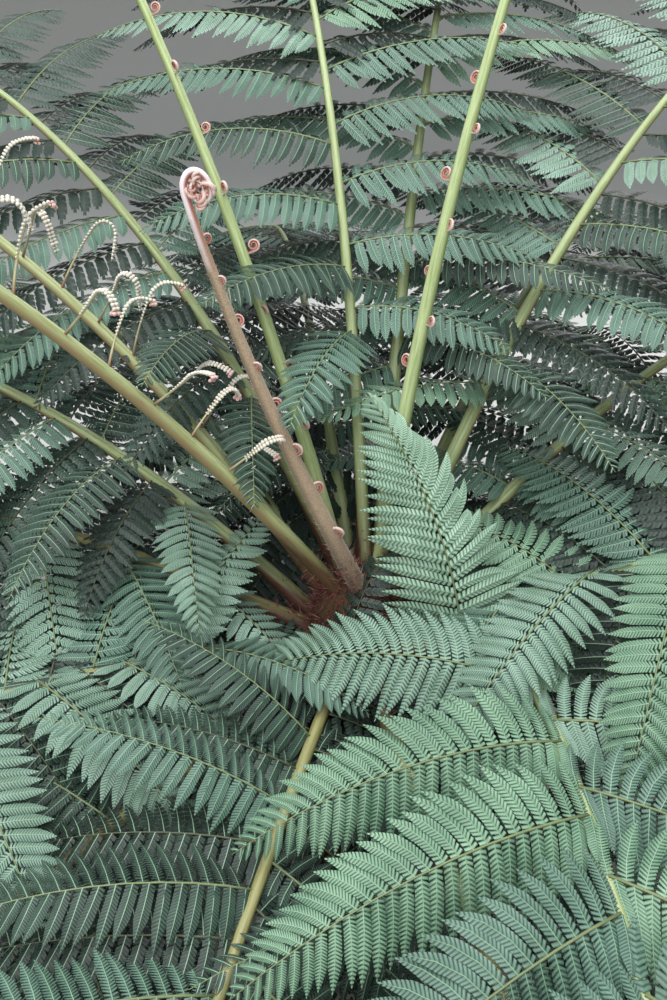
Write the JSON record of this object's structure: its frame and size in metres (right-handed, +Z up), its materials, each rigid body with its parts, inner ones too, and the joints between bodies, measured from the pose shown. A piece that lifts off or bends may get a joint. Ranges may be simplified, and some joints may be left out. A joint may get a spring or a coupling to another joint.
{
  "type": "tree fern",
  "caption": "Tree fern with a short scaly trunk, a wide arching crown of feathered fronds, and young fronds still uncurling at its heart.",
  "frame": {"origin": "centre of the flat cut under the trunk, at ground level", "axes": "+Z up along the trunk, -Y towards the side that the picture was taken from, +X to that picture's right"},
  "size_m": [3.7762, 3.7809, 2.0314],
  "materials": {
    "bark": "rough fibrous bark with dark red-brown scales",
    "leaf": "matt blue-green leaf",
    "young": "smooth yellow-green young stem",
    "crozier": "tan scaly young stem"
  },
  "bodies": {
    "root": {"trunk": "bark", "front_right_lower": "leaf", "front_right_upper": "leaf", "back_lower": "leaf", "back_upper": "leaf", "right_high_lower": "leaf", "right_high_upper": "leaf", "left_high_lower": "leaf", "left_high_upper": "leaf", "left_lower": "leaf", "left_upper": "leaf", "front_left_lower": "leaf", "front_left_upper": "leaf", "front_lower": "leaf", "front_upper": "leaf", "right_side_lower": "leaf", "right_side_upper": "leaf", "right_lower": "leaf", "right_upper": "leaf", "right_back_lower": "leaf", "right_back_upper": "leaf", "back_right_lower": "leaf", "back_right_upper": "leaf", "back_left_lower": "leaf", "back_left_upper": "leaf", "far_back_lower": "leaf", "far_back_upper": "leaf", "far_right_lower": "leaf", "far_right_upper": "leaf", "far_left_lower": "leaf", "far_left_upper": "leaf", "low_front_left_lower": "leaf", "low_front_left_upper": "leaf", "low_front_lower": "leaf", "low_front_upper": "leaf", "low_front_right_lower": "leaf", "low_front_right_upper": "leaf", "low_right_lower": "leaf", "low_right_upper": "leaf", "low_back_lower": "leaf", "low_back_upper": "leaf", "low_left_lower": "leaf", "low_left_upper": "leaf", "young_left": "young", "young_right": "young", "unfurling_back": "young", "unfurling_front": "young", "crozier": "crozier"}
  },
  "joints": []
}
